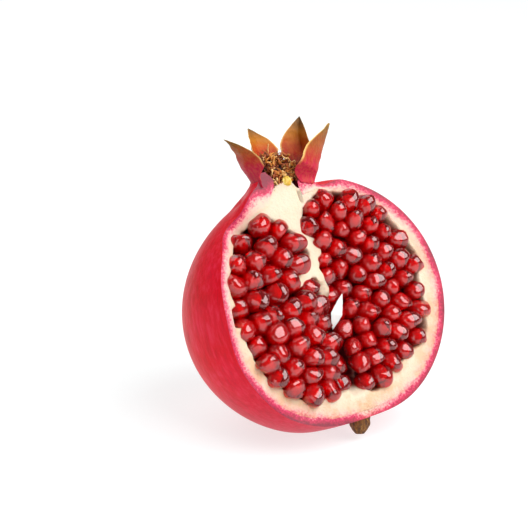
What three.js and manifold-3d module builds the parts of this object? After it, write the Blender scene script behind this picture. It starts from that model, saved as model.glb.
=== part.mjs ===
// A cut pomegranate, real size, in millimetres: +Z up, front towards -Y, floor at z = 0.
// One flat slice has taken the front of the fruit away. What is left lies on a small flat spot,
// with the slice facing forwards and up, so that the seed clusters and the pith show.
//
// The fruit is modelled in a frame of its own and set on the floor at the end. In that frame
// x runs to the right across the slice, y from the stem to the crown, and z out of the slice.

import * as THREE from "three";
import { mergeVertices } from "three/addons/utils/BufferGeometryUtils.js";
import Module from "manifold-3d";

const wasm = await Module();
wasm.setup();
const { Manifold, Mesh } = wasm;

// ---------------------------------------------------------------- driving dimensions

// The whole fruit, before it was sliced.
const HALF_WIDTH = 46.8;
const HALF_HEIGHT = 44.2;
const HALF_DEPTH = 47.35;
const LOBES = 6;
const LOBE_HEIGHT = 0.6;
const LOBE_TURN = 0.35;
const STEM_END_FLATTENING = 3.4;
const STEM_END_RADIUS = 15;
const NECK_RISE = 2.6;
const NECK_RISE_RADIUS = 13;

// How it was cut and how it lies.
const SLICE = 10.8;
const SLICE_FROM_FLOOR = THREE.MathUtils.degToRad(64.6);
const CROWN_LEAN = THREE.MathUtils.degToRad(3.94);
const CENTRE_HEIGHT = 42.4;

// Peel, pith and the gap that separate pieces keep.
const SKIN = 2.4;
const GAP = 0.3;
const POCKET_DEPTH = 15;
const SLIVER = 0.04;

// The crown: a thick neck with a narrow cup in it, and the sepals round its rim.
const CROWN_BASE = new THREE.Vector3(-4.2, 42, 8.8);
const CROWN_TILT = new THREE.Euler(THREE.MathUtils.degToRad(12), 0, THREE.MathUtils.degToRad(-12));
const NECK_RIM = 8;
const NECK_RIM_RADIUS = 10;
const CUP_RIM_RADIUS = 8;
const CUP_FLOOR = -4.4;
const SEPAL_THICKNESS = 1.3;
const SEPAL_CUPPING = 22;
const SEPALS = [
  { around: -85, length: 18.4, width: 14, flare: 56 },
  { around: -156, length: 13.9, width: 12.5, flare: 22 },
  { around: 127, length: 17.8, width: 13.5, flare: 17 },
  { around: 64, length: 15.2, width: 12.5, flare: 19 },
];
const STAMENS = 30;
const STAMEN_RADIUS = 0.42;

// The cut stem under the fruit.
const STEM_BASE = new THREE.Vector3(0.8, -39.2, 4);
const STEM_TIP = new THREE.Vector3(-0.6, -45.6, 3.4);
const STEM_RADIUS = 2.7;

// The three seed chambers: outline across the slice, arils, their size and the seed of the draw.
const CHAMBERS = [
  {
    name: "arils_upper_left",
    outline: [[-17, 35], [-9.5, 30], [-5.3, 22.5], [-4.3, 17], [-9.6, 12.4], [-14.6, 7.6],
      [-17, 4.6], [-28, 4.2], [-38.6, 4.8], [-40, 13], [-36.2, 20.5], [-31, 27], [-25, 32.2]],
    count: 18, spacing: 7.6, size: 4.0, seed: 7,
  },
  {
    name: "arils_lower_left",
    outline: [[-39.8, 1.2], [-28, 2], [-17, 2.3], [-10.4, 3.6], [-6, 6.4], [-3.2, 4.6], [-2.4, -2],
      [-3.2, -9], [-1.9, -17], [-1.6, -25], [-4.4, -29.6], [-12, -31], [-20, -30.4], [-28, -25],
      [-34.5, -18], [-38.6, -8]],
    count: 25, spacing: 8.2, size: 4.35, seed: 23,
  },
  {
    name: "arils_right",
    outline: [[-2.6, 32], [3, 36.8], [10, 38.2], [20, 34.6], [29, 29.4], [34.6, 21], [38.6, 12],
      [40.8, 6], [37.8, -1], [37.4, -9], [35.6, -15], [34, -21], [26, -25.4], [15, -29.4],
      [5, -33], [0.2, -29.6], [-0.4, -20], [-1.4, -9], [-0.9, 2], [-0.6, 10], [2.9, 16], [1.4, 20.6],
      [-3.6, 25.6]],
    count: 56, spacing: 7.1, size: 3.75, seed: 41,
  },
];
// Where the walls between the chambers are torn low, and how deep.
const LOW_WALLS = [
  { x: -1.6, y: -14, width: 3, length: 28, depth: 8.5 },
  { x: -26, y: 3.2, width: 20, length: 5, depth: 3.5 },
];
const OUTLINE_STEPS = 48;
const ARIL_SIDES = 6;
const ARIL_RINGS = 4;
const ARIL_STRETCH = 1.4;
const CORE_DEPTH = 6.4;
const HEADROOM = 14;
const RIM_OVERHANG = 0.3;
const FLAP_THICKNESS = 0.7;
const FLAP_FROM = new THREE.Vector2(-3.4, -8.6);
const FLAP_TO = new THREE.Vector2(2.5, 2.2);
const SPREAD_ROUNDS = 160;

// ---------------------------------------------------------------- helpers

// A closed three.js geometry as a manifold-3d solid.
function solidOf(geometry) {
  const bare = geometry.clone();
  bare.deleteAttribute("normal");
  bare.deleteAttribute("uv");
  const merged = mergeVertices(bare, 1e-4);
  return new Manifold(
    new Mesh({
      numProp: 3,
      vertProperties: merged.attributes.position.array,
      triVerts: new Uint32Array(merged.index.array),
    }),
  );
}

// A manifold-3d solid as a three.js geometry.
function geometryOf(solid) {
  const { vertProperties, triVerts } = solid.getMesh();
  const geometry = new THREE.BufferGeometry();
  geometry.setAttribute("position", new THREE.BufferAttribute(vertProperties, 3));
  geometry.setIndex(new THREE.BufferAttribute(triVerts, 1));
  geometry.computeVertexNormals();
  return geometry;
}

// The largest body of a solid, without loose crumbs, sealed bubbles or slivers.
function mainBody(solid) {
  const bodies = solid.simplify(SLIVER).decompose();
  return bodies.reduce((best, body) => (body.volume() > best.volume() ? body : best));
}

// Numbers from 0 to 1, the same on every run.
function makeDraw(seed) {
  let state = seed;
  return () => {
    state = (state * 16807) % 2147483647;
    return state / 2147483647;
  };
}

// ---------------------------------------------------------------- the fruit's shape

const placing = new THREE.Matrix4().makeRotationFromEuler(
  new THREE.Euler(SLICE_FROM_FLOOR, 0, CROWN_LEAN),
);
const upwards = new THREE.Vector3(0, 0, 1).applyMatrix4(placing.clone().transpose());

// The point of the fruit in a unit direction, a depth of `inset` under its skin.
function fruitPoint(direction, inset) {
  const point = new THREE.Vector3(
    direction.x * (HALF_WIDTH - inset),
    direction.y * (HALF_HEIGHT - inset),
    direction.z * (HALF_DEPTH - inset),
  );
  const around = Math.atan2(direction.z, direction.x);
  const girth = 1 - direction.y * direction.y;
  const lobe = 1 + (LOBE_HEIGHT / HALF_WIDTH) * girth * Math.cos(LOBES * (around - LOBE_TURN));
  point.x *= lobe;
  point.z *= lobe;
  const fromStem = Math.hypot(point.x, point.z) / STEM_END_RADIUS;
  const fromNeck = Math.hypot(point.x - CROWN_BASE.x, point.z - CROWN_BASE.z) / NECK_RISE_RADIUS;
  if (direction.y < 0) point.y += STEM_END_FLATTENING * Math.exp(-fromStem * fromStem);
  else if (inset === 0) point.y += NECK_RISE * Math.exp(-fromNeck * fromNeck);
  return point;
}

// The fruit as a closed solid. Under the skin it stays `inset` above the floor.
function fruitSolid(inset, sides) {
  const geometry = new THREE.SphereGeometry(1, sides, sides / 2);
  const places = geometry.attributes.position;
  for (let i = 0; i < places.count; i += 1) {
    const direction = new THREE.Vector3().fromBufferAttribute(places, i).normalize();
    const point = fruitPoint(direction, inset);
    const height = CENTRE_HEIGHT + point.dot(upwards);
    if (inset > 0 && height < inset) point.addScaledVector(upwards, inset - height);
    places.setXYZ(i, point.x, point.y, point.z);
  }
  return solidOf(geometry);
}

// What lies behind the slice, or at least `depth` behind it, and what lies above the floor.
const behindSlice = (solid, depth = 0) => solid.trimByPlane([0, 0, -1], -(SLICE - depth));
const aboveFloor = (solid) => solid.trimByPlane(upwards.toArray(), -CENTRE_HEIGHT);

// ---------------------------------------------------------------- crown

const crownMatrix = new THREE.Matrix4()
  .makeRotationFromEuler(CROWN_TILT)
  .setPosition(CROWN_BASE);

const crownAxis = new THREE.Vector3(0, 1, 0).transformDirection(crownMatrix);

// A solid turned about the crown's axis from [radius, height] points that start and end on it.
function turned(profile, sides) {
  const points = profile.map(([radius, height]) => new THREE.Vector2(radius, height));
  return solidOf(new THREE.LatheGeometry(points, sides).applyMatrix4(crownMatrix));
}

// The neck that carries the sepals, its foot sunk in the fruit.
const neckSolid = () => turned([[0, -8], [12, -8], [12.8, -3], [11.2, 0], [10, 2.8], [9.6, 5.2],
  [NECK_RIM_RADIUS, NECK_RIM], [0, NECK_RIM]], 36);

// The cup inside the neck, made wider or narrower by `more`.
const cupSolid = (more) => turned([[0, CUP_FLOOR - more], [6.4 + more, CUP_FLOOR - more],
  [5.2 + more, 0], [4.9 + more, 2.4], [6.2 + more, 4.8], [CUP_RIM_RADIUS + more, NECK_RIM],
  [CUP_RIM_RADIUS + more + 2, NECK_RIM + 9], [0, NECK_RIM + 9]], 32);

// The blunt cone of pith that stands in the cup, and the stump of the style on its point.
const pithCone = () => turned([[0, CUP_FLOOR - 2], [6, CUP_FLOOR - 2], [5.6, CUP_FLOOR + 0.4],
  [2.4, -0.4], [0, -0.1]], 20);

const styleSolid = () => turned([[0, 0.2], [2, -0.1], [1.7, 1.4], [0.9, 3.2], [0, 3.6]], 12);

// A sphere reshaped into one sepal: a cupped, pointed blade that grows out of the rim and
// bends outwards. The sphere's poles become the root and the tip.
function sepalSolid({ around, length, width, flare }) {
  const geometry = new THREE.SphereGeometry(1, 10, 8);
  const places = geometry.attributes.position;
  const lean = THREE.MathUtils.degToRad(flare);
  const rootRadius = 0.5 * (NECK_RIM_RADIUS + CUP_RIM_RADIUS);
  for (let i = 0; i < places.count; i += 1) {
    const round = Math.hypot(places.getX(i), places.getZ(i)) || 1;
    const t = 0.5 + 0.5 * places.getY(i);
    const halfWidth = 0.5 * width * Math.min(1, (1 - t) * (1.25 + 0.6 * t));
    const side = (halfWidth * places.getX(i)) / round;
    const skin = (0.5 * SEPAL_THICKNESS * (1 - 0.35 * t) * places.getZ(i)) / round;
    const bend = lean * (0.6 + 0.55 * t);
    const radius = rootRadius + length * t * Math.sin(bend) - (side * side) / SEPAL_CUPPING;
    const height = NECK_RIM + length * t * Math.cos(bend);
    places.setXYZ(i, side, height - skin * Math.sin(bend), radius + skin * Math.cos(bend));
  }
  geometry.rotateY(THREE.MathUtils.degToRad(around)).applyMatrix4(crownMatrix);
  return solidOf(geometry);
}

// The sepals, joined by the thin collar that they rise from.
function calyxSolid() {
  const low = NECK_RIM + GAP;
  const collar = turned([[CUP_RIM_RADIUS, low], [NECK_RIM_RADIUS, low],
    [NECK_RIM_RADIUS + 0.4, low + 1.8], [CUP_RIM_RADIUS + 0.6, low + 1.8],
    [CUP_RIM_RADIUS, low]], 24);
  const whole = Manifold.union([behindSlice(collar), ...SEPALS.map(sepalSolid)]);
  return whole.trimByPlane(crownAxis.toArray(), crownAxis.dot(CROWN_BASE) + low);
}

// The tuft in the cup: three-sided threads with a knob each, out of a lining of the cup's wall.
function stamensSolid() {
  const draw = makeDraw(5);
  const lining = turned([[4.3, -1.9], [4.9, -1.9], [4.5, 0], [4.5, 2.4], [5.7, 4.8], [7.3, 7.6],
    [6.6, 7.8], [5, 5.2], [3.7, 2.6], [3.7, 0], [4.3, -1.9]], 24);
  const threads = [];
  for (let i = 0; i < STAMENS; i += 1) {
    const around = (i * 2.399963) % (2 * Math.PI);
    const climb = i / STAMENS;
    const root = new THREE.Vector3(0, -0.5 + 7.5 * climb, 4.1 + 2.7 * climb * climb);
    const inwards = root.z * (0.2 + 0.5 * draw());
    const tip = new THREE.Vector3(3 * (draw() - 0.5), root.y + 3 + 2.6 * draw(), inwards);
    threads.push(threadSolid(root, tip, around));
  }
  return mainBody(behindSlice(Manifold.union([lining, ...threads]), 0.2));
}

// A thread from root to tip, with a knob at the tip, turned to its place round the cup.
function threadSolid(root, tip, around) {
  const along = new THREE.Vector3().subVectors(tip, root);
  const length = along.length();
  const outline = [[0, 0], [STAMEN_RADIUS, 0], [STAMEN_RADIUS, length - 0.9],
    [2 * STAMEN_RADIUS, length - 0.2], [0, length + 0.5]];
  const points = outline.map(([radius, height]) => new THREE.Vector2(radius, height));
  const geometry = new THREE.LatheGeometry(points, 3);
  const turn = new THREE.Quaternion().setFromUnitVectors(
    new THREE.Vector3(0, 1, 0),
    along.normalize(),
  );
  geometry.applyQuaternion(turn).translate(root.x, root.y, root.z);
  return solidOf(geometry.rotateY(around).applyMatrix4(crownMatrix));
}

// ---------------------------------------------------------------- chambers and arils

// A chamber's clockwise outline as a closed run of smooth points, moved inwards by `inset`.
function outlinePoints({ outline }, inset) {
  const corners = outline.map(([x, y]) => new THREE.Vector3(x, y, 0));
  const curve = new THREE.CatmullRomCurve3(corners, true, "centripetal");
  const points = curve.getSpacedPoints(OUTLINE_STEPS).slice(0, -1);
  return points.map((point, i) => {
    const before = points[(i + OUTLINE_STEPS - 1) % OUTLINE_STEPS];
    const after = points[(i + 1) % OUTLINE_STEPS];
    const inwards = new THREE.Vector3(after.y - before.y, before.x - after.x, 0).normalize();
    return point.clone().addScaledVector(inwards, inset);
  });
}

// An upright prism over a chamber, from `low` to `high` above the slice.
function prismSolid(chamber, inset, low, high) {
  const shape = new THREE.Shape(
    outlinePoints(chamber, inset).map(({ x, y }) => new THREE.Vector2(x, y)),
  );
  const geometry = new THREE.ExtrudeGeometry(shape, {
    depth: high - low,
    bevelEnabled: false,
  });
  return solidOf(geometry.translate(0, 0, SLICE + low));
}

// How far the arils' outer ends stand above the slice: three swells and one deep valley.
function swell(x, y) {
  const bump = (cx, cy, rx, ry) => Math.exp(-(((x - cx) / rx) ** 2) - ((y - cy) / ry) ** 2);
  const valleyEnd = 1 / (1 + Math.exp((y - 6) / 1.5));
  return (
    0.8 +
    4.2 * bump(-19, -13, 17, 15) +
    2.4 * bump(-22, 20, 13, 12) +
    2.0 * bump(14, 27, 16, 10) +
    1.2 * bump(20, -14, 14, 12) -
    3.4 * bump(6, 3, 9, 9) -
    6.5 * valleyEnd * bump(-1.4, y, 4.2, 1)
  );
}

// Places for a chamber's arils: random at first, then pushed apart until they fill the outline.
function arilPlaces(chamber) {
  const draw = makeDraw(chamber.seed);
  const edge = outlinePoints(chamber, 0);
  const middle = middleOf(edge);
  const places = [];
  for (let i = 0; i < chamber.count; i += 1) {
    const corner = edge[Math.floor(draw() * edge.length)];
    places.push(middle.clone().lerp(corner, 0.85 * Math.sqrt(draw())));
  }
  for (let round = 0; round < SPREAD_ROUNDS; round += 1) {
    spreadOut(places, chamber.spacing);
    for (const place of places) keepInside(place, edge, chamber.size * 0.84);
  }
  return places;
}

const middleOf = (points) =>
  points.reduce((sum, point) => sum.add(point), new THREE.Vector3()).divideScalar(points.length);

// One round of pushing: each pair closer than `spacing` moves apart by a share of what it lacks.
function spreadOut(places, spacing) {
  for (let i = 0; i < places.length; i += 1) {
    for (let j = i + 1; j < places.length; j += 1) {
      const apart = new THREE.Vector3().subVectors(places[i], places[j]);
      const lack = spacing - apart.length();
      if (lack <= 0) continue;
      apart.setLength(0.3 * lack);
      places[i].add(apart);
      places[j].sub(apart);
    }
  }
}

// Moves a place back to `margin` inside the outline, square to the outline's nearest side.
function keepInside(place, edge, margin) {
  let nearest = Infinity;
  let inwards = null;
  edge.forEach((from, i) => {
    const side = new THREE.Vector3().subVectors(edge[(i + 1) % edge.length], from);
    const along = new THREE.Vector3().subVectors(place, from).dot(side) / side.lengthSq();
    const foot = from.clone().addScaledVector(side, THREE.MathUtils.clamp(along, 0, 1));
    if (foot.distanceTo(place) >= Math.abs(nearest)) return;
    const square = new THREE.Vector3(side.y, -side.x, 0).normalize();
    const depth = new THREE.Vector3().subVectors(place, foot).dot(square);
    nearest = Math.sign(depth) * foot.distanceTo(place);
    inwards = square;
  });
  if (nearest < margin) place.addScaledVector(inwards, margin - nearest);
}

// One aril: a rounded drop with flat sides, blunt end outwards, its narrow end in the core.
function arilSolid(place, chamber, draw) {
  const step = 0.5;
  const slopeX = (swell(place.x + step, place.y) - swell(place.x - step, place.y)) / (2 * step);
  const slopeY = (swell(place.x, place.y + step) - swell(place.x, place.y - step)) / (2 * step);
  const fan = middleOf(outlinePoints(chamber, 0)).sub(place).multiplyScalar(-0.016);
  const outwards = new THREE.Vector3(
    fan.x - 0.7 * slopeX + 0.3 * (draw() - 0.5),
    fan.y - 0.7 * slopeY + 0.3 * (draw() - 0.5),
    1,
  ).normalize();
  const radius = chamber.size * (0.93 + 0.14 * draw());
  const geometry = new THREE.SphereGeometry(1, ARIL_SIDES, ARIL_RINGS);
  const corners = geometry.attributes.position;
  for (let i = 0; i < corners.count; i += 1) {
    const y = corners.getY(i);
    const girth = y < 0 ? 1 + 0.42 * y : 1;
    corners.setX(i, corners.getX(i) * girth * radius);
    corners.setZ(i, corners.getZ(i) * girth * radius * 0.92);
    corners.setY(i, y * radius * ARIL_STRETCH);
  }
  geometry.rotateY(2 * Math.PI * draw());
  geometry.applyQuaternion(
    new THREE.Quaternion().setFromUnitVectors(new THREE.Vector3(0, 1, 0), outwards),
  );
  const top = SLICE + swell(place.x, place.y) + 0.8 * (draw() - 0.5);
  const sink = radius * ARIL_STRETCH * 0.96;
  return solidOf(
    geometry.translate(
      place.x - 0.4 * outwards.x * sink,
      place.y - 0.4 * outwards.y * sink,
      top - sink * outwards.z,
    ),
  );
}

// The mass under the arils: a block whose upper side follows the swell, kept in its pocket.
function coreSolid(chamber) {
  const block = new THREE.BoxGeometry(88, 80, 1, 8, 7, 1);
  const corners = block.attributes.position;
  for (let i = 0; i < corners.count; i += 1) {
    const upper = corners.getZ(i) > 0;
    const height = swell(corners.getX(i), corners.getY(i)) - CORE_DEPTH;
    corners.setZ(i, SLICE + (upper ? height : -POCKET_DEPTH + GAP));
  }
  return solidOf(block).intersect(prismSolid(chamber, GAP, -POCKET_DEPTH, HEADROOM));
}

// A chamber's arils on their core, clear of the pith under the slice and a little over its rim.
function arilsSolid(chamber) {
  const draw = makeDraw(chamber.seed + 100);
  const arils = arilPlaces(chamber).map((place) => arilSolid(place, chamber, draw));
  const room = Manifold.union([
    prismSolid(chamber, GAP, -POCKET_DEPTH + GAP, HEADROOM),
    prismSolid(chamber, -RIM_OVERHANG, GAP, HEADROOM),
  ]);
  const cluster = Manifold.union([coreSolid(chamber), ...arils]).intersect(room);
  return mainBody(cluster.subtract(flapSolid(FLAP_THICKNESS + 2 * GAP)));
}

// ---------------------------------------------------------------- peel, pith and stem

// The skin with the neck of the crown, hollow for the pith, the cup and the stem.
function rindSolid() {
  const outside = Manifold.union([fruitSolid(0, 56), neckSolid()]);
  const hollow = Manifold.union([fruitSolid(SKIN, 40), cupSolid(0), stemSolid(GAP)]);
  return mainBody(aboveFloor(behindSlice(outside.subtract(hollow))));
}

// The torn strip of membrane that stands in the valley, `thickness` thick.
function flapSolid(thickness) {
  const length = FLAP_FROM.distanceTo(FLAP_TO);
  const outline = [[0, -12], [length, -12], [length * 1.04, -1.6], [length * 0.66, 0.4],
    [length * 0.36, -3.2], [0, -7.4]];
  const shape = new THREE.Shape(outline.map(([x, y]) => new THREE.Vector2(x, y)));
  const geometry = new THREE.ExtrudeGeometry(shape, { depth: thickness, bevelEnabled: false });
  geometry.translate(0, 0, -thickness / 2).rotateX(Math.PI / 2);
  geometry.rotateZ(Math.atan2(FLAP_TO.y - FLAP_FROM.y, FLAP_TO.x - FLAP_FROM.x));
  geometry.translate(FLAP_FROM.x, FLAP_FROM.y, SLICE);
  return solidOf(geometry);
}

// The pale flesh: it fills the skin and holds a pocket for each chamber.
function pithSolid() {
  const pockets = CHAMBERS.map((chamber) => prismSolid(chamber, 0, -POCKET_DEPTH, HEADROOM));
  const lowered = LOW_WALLS.map(({ x, y, width, length, depth }) =>
    solidOf(new THREE.BoxGeometry(width, length, 2 * depth).translate(x, y, SLICE)),
  );
  const body = behindSlice(fruitSolid(SKIN + GAP, 40));
  const carved = body.subtract(Manifold.union([cupSolid(0), ...lowered, ...pockets]));
  return mainBody(Manifold.union([carved, behindSlice(pithCone()), flapSolid(FLAP_THICKNESS)]));
}

// The stub of the stem, `more` thicker all round than it is.
function stemSolid(more) {
  const along = new THREE.Vector3().subVectors(STEM_TIP, STEM_BASE);
  const length = along.length();
  const foot = 0.8 * STEM_RADIUS + more;
  const outline = [[0, -more], [foot, -more], [foot + 0.15, 0.4 * length],
    [STEM_RADIUS + more, 0.75 * length], [0.9 * STEM_RADIUS + more, length], [0, length + 0.4]];
  const points = outline.map(([radius, height]) => new THREE.Vector2(radius, height));
  const turn = new THREE.Quaternion().setFromUnitVectors(
    new THREE.Vector3(0, 1, 0),
    along.normalize(),
  );
  const geometry = new THREE.LatheGeometry(points, 9).applyQuaternion(turn);
  return solidOf(geometry.translate(STEM_BASE.x, STEM_BASE.y, STEM_BASE.z));
}

// ---------------------------------------------------------------- assembly

const pomegranate = new THREE.Group();
const fruit = new THREE.Group();
fruit.position.z = CENTRE_HEIGHT;
fruit.rotation.set(SLICE_FROM_FLOOR, 0, CROWN_LEAN);
pomegranate.add(fruit);

function addPiece(name, solid, color, roughness) {
  const material = new THREE.MeshStandardMaterial({ color, roughness, metalness: 0 });
  const mesh = new THREE.Mesh(geometryOf(solid), material);
  mesh.name = name;
  fruit.add(mesh);
}

addPiece("rind", rindSolid(), "#d02a45", 0.38);
addPiece("pith", pithSolid(), "#f4ead0", 0.6);
for (const chamber of CHAMBERS) addPiece(chamber.name, arilsSolid(chamber), "#9c0414", 0.12);
addPiece("calyx", calyxSolid(), "#b06a34", 0.7);
addPiece("stamens", stamensSolid(), "#a87c3c", 0.8);
addPiece("style", behindSlice(styleSolid(), 0.2), "#d8b848", 0.6);
addPiece("stem_stub", stemSolid(0), "#7a5c26", 0.85);

export default pomegranate;
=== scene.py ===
# %% [markdown]
# # A cut pomegranate
# A ripe pomegranate lies on a white table with a slice of its front taken away. This lesson
# dresses a plain CAD model of it. The CAD model says where each piece is and how big it is,
# so every step below starts from real millimetres and ends inside the CAD piece it replaces.

# %% Imports and the frame
import math
import random

import bmesh
import bpy
import numpy as np
from mathutils import Matrix, Vector, noise


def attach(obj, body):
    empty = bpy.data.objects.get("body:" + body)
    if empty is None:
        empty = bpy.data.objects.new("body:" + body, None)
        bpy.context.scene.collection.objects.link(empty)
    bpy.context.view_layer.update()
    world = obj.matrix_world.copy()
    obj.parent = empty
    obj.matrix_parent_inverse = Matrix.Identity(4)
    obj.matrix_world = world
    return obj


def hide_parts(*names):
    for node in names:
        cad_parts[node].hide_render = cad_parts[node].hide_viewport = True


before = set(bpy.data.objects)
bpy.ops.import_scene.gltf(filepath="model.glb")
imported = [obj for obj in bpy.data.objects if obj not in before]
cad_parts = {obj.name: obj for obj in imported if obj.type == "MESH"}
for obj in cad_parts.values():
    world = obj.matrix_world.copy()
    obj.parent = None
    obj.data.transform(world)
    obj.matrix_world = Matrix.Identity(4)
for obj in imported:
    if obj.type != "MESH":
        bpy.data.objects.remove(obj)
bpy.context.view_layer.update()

# %% [markdown]
# ## The fruit's own frame
# It is easier to think of a fruit from its own middle: x to the right across the cut, y from
# the stem to the crown, z out of the cut. One matrix carries millimetres in that frame to
# metres on the table, so each piece is modelled upright and laid down once, at the end.

# %% Real sizes in millimetres
HALF_WIDTH, HALF_HEIGHT, HALF_DEPTH = 46.8, 44.2, 47.35
SLICE = 10.8
SKIN = 2.4
LOBES, LOBE_HEIGHT, LOBE_TURN = 6, 0.6, 0.35
STEM_END_FLATTENING, STEM_END_RADIUS = 3.4, 15.0
CENTRE_HEIGHT = 42.4
CROWN_BASE = Vector((-4.2, 42.0, 8.8))
CROWN_TURN = Matrix.Rotation(math.radians(12), 3, "X") @ Matrix.Rotation(math.radians(-12), 3, "Z")

fruit_turn = Matrix.Rotation(math.radians(64.6), 3, "X") @ Matrix.Rotation(math.radians(3.94), 3, "Z")
to_table = Matrix.Translation((0, 0, CENTRE_HEIGHT / 1000)) @ (fruit_turn * 0.001).to_4x4()
upwards = fruit_turn.transposed() @ Vector((0, 0, 1))


def above_table(point, least=0.0):
    """The point, lifted straight up where it would lie lower than `least` over the table."""
    height = CENTRE_HEIGHT + point.dot(upwards)
    return point + upwards * max(0.0, least - height)


def smooth_step(low, high, value):
    """0 below `low`, 1 above `high`, with an even curve between."""
    t = min(1.0, max(0.0, (value - low) / (high - low)))
    return t * t * (3 - 2 * t)


# %% [markdown]
# ## One way to start and to finish a mesh
# Nearly every piece of a fruit is one closed skin, so it starts as a ball whose rows of points
# are drawn to their places. Every piece also ends the same way: its bmesh, in fruit
# millimetres, is laid on the table, its faces are turned outwards and shaded smooth, and it
# takes the place of its CAD node.

# %% Balls to start from
def new_ball(bm, segments, rows):
    """Adds a ball with so many segments round it and rows from top to bottom. Returns its points."""
    return bmesh.ops.create_uvsphere(bm, u_segments=segments, v_segments=rows, radius=1)["verts"]


def down(z):
    """The share of the way from a ball's top to its bottom, by angle, at a height from 1 to -1."""
    return math.acos(max(-1.0, min(1.0, z))) / math.pi


def around_z(point):
    """The angle of a point round the z axis, from x towards y."""
    return math.atan2(point.y, point.x)


# %% Lay a piece on the table
def new_object(name, data):
    """An object in the scene that holds a mesh, a light or a camera."""
    made = bpy.data.objects.new(name, data)
    bpy.context.scene.collection.objects.link(made)
    return made


def mesh_object(bm, name, *materials):
    """An object of a bmesh, with its materials."""
    mesh = bpy.data.meshes.new(name)
    bm.to_mesh(mesh)
    bm.free()
    for material in materials:
        mesh.materials.append(material)
    return new_object(name, mesh)


def lay_down(bm, name, slot, node, *materials):
    """Makes an object of a bmesh, in the place of the CAD node named."""
    bmesh.ops.recalc_face_normals(bm, faces=bm.faces)
    bmesh.ops.transform(bm, matrix=to_table, verts=bm.verts)
    piece = mesh_object(bm, name, *materials)
    piece.data.shade_smooth()
    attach(piece, "root")
    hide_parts(node)
    print(name, len(piece.data.vertices), "points,", len(piece.data.polygons), "faces")


# %% [markdown]
# ## Helpers for materials
# Colours are picked as screen values, sRGB, and Blender computes with linear light, so one
# function converts them. Another fills in a node's inputs, and a third adds one node with its
# settings and links. Patterns need a scale: so each material reads where it is along the
# fruit's own axes, in millimetres, and a noise's Scale is 1 over the width of its bumps.

# %% Colour and node helpers
def linear(hex_colour):
    """An sRGB hex colour such as '#c81e3a' as linear RGBA."""
    parts = [int(hex_colour[i : i + 2], 16) / 255 for i in (1, 3, 5)]
    return tuple(c / 12.92 if c <= 0.04045 else ((c + 0.055) / 1.055) ** 2.4 for c in parts) + (1.0,)


def fill_in(tree, node, **inputs):
    """Sets or links inputs of a node, by name or, as i0, by number. A text is a hex colour."""
    open_inputs = {socket.name: socket for socket in node.inputs if socket.enabled}
    for key, value in inputs.items():
        socket = node.inputs[int(key[1:])] if key[1:].isdigit() else open_inputs[key.replace("_", " ")]
        if isinstance(value, bpy.types.Node):
            value = value.outputs.get("Fac") or next(output for output in value.outputs if output.enabled)
        if isinstance(value, bpy.types.NodeSocket):
            tree.links.new(value, socket)
        else:
            socket.default_value = linear(value) if isinstance(value, str) else value


def add(tree, kind, settings=None, stops=(), **inputs):
    """Adds a shader node, with its settings, the (place, colour) stops of a ramp and its inputs."""
    node = tree.nodes.new("ShaderNode" + kind)
    for key, value in (settings or {}).items():
        setattr(node, key, value)
    for _ in stops[2:]:
        node.color_ramp.elements.new(0.5)
    for element, (place, colour) in zip(node.color_ramp.elements if stops else (), stops):
        element.position = place
        element.color = linear(colour)
    fill_in(tree, node, **inputs)
    return node


def new_material(name):
    """An empty material with a Principled shader. Returns it, its tree and the shader."""
    material = bpy.data.materials.new(name)
    material.use_nodes = True
    tree = material.node_tree
    tree.nodes.clear()
    shader = add(tree, "BsdfPrincipled")
    add(tree, "OutputMaterial", Surface=shader)
    return material, tree, shader


def fruit_millimetres(tree):
    """The place in the fruit's own frame, in millimetres."""
    return add(
        tree,
        "Mapping",
        {"vector_type": "TEXTURE"},
        Vector=add(tree, "TexCoord").outputs["Object"],
        Location=to_table.translation,
        Rotation=fruit_turn.to_euler(),
        Scale=(0.001, 0.001, 0.001),
    )


COLOURS = {"data_type": "RGBA"}
TIMES, TIMES_PLUS = {"operation": "MULTIPLY"}, {"operation": "MULTIPLY_ADD"}

# %% [markdown]
# ## Camera, light and table
# The camera stands in front and to the left, a little above the fruit, with a long lens so
# that the slice keeps its true outline. The light is that of a product shot: a white room, a
# large softbox high in front, a wide one high behind, a narrow one low on the left that
# lights the skin's dark side a little, and a white table.

# %% Camera
camera_data = bpy.data.cameras.new("camera")
camera_data.lens = 125
camera_data.sensor_width = 36
camera_data.clip_start = 0.01
camera = new_object("camera", camera_data)
camera_right = Vector((0.8384, -0.5451, 0.0))
camera_up = Vector((0.1684, 0.2591, 0.9511))
camera_back = camera_right.cross(camera_up)
camera_turn = Matrix((camera_right, camera_up, camera_back)).transposed()
camera_place = Vector((-0.34203, -0.49182, CENTRE_HEIGHT / 1000 + 0.21003))
camera.matrix_world = Matrix.Translation(camera_place) @ camera_turn.to_4x4()
bpy.context.scene.camera = camera
print("camera stands", round(1000 * camera_place.length), "mm from the table spot")


# %% Softboxes
def softbox(name, place, width, height, power):
    """A rectangular area light at `place` (metres) that looks at the fruit."""
    data = bpy.data.lights.new(name, "AREA")
    data.shape = "RECTANGLE"
    data.size, data.size_y = width, height
    data.energy = power
    light = new_object(name, data)
    light.location = place
    aim = Vector((0, 0, 0.045)) - light.location
    light.rotation_euler = aim.to_track_quat("-Z", "Y").to_euler()
    print(name, "is", width, "by", height, "metres")


softbox("front_softbox", (0.30, -0.62, 0.74), 1.10, 0.96, 16.8)
softbox("left_softbox", (-0.90, -0.45, 0.20), 0.25, 0.60, 0.8)
softbox("back_softbox", (-0.1, 0.9, 1.10), 1.80, 1.40, 12.0)

# %% White room
world = bpy.data.worlds.new("white_room")
world.use_nodes = True
bpy.context.scene.world = world
fill_in(world.node_tree, world.node_tree.nodes["Background"], Color="#ffffff", Strength=0.13)
bpy.context.scene.view_settings.view_transform = "Standard"

# %% Table
table_paper, tree, shader = new_material("matt_white_card")
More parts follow.
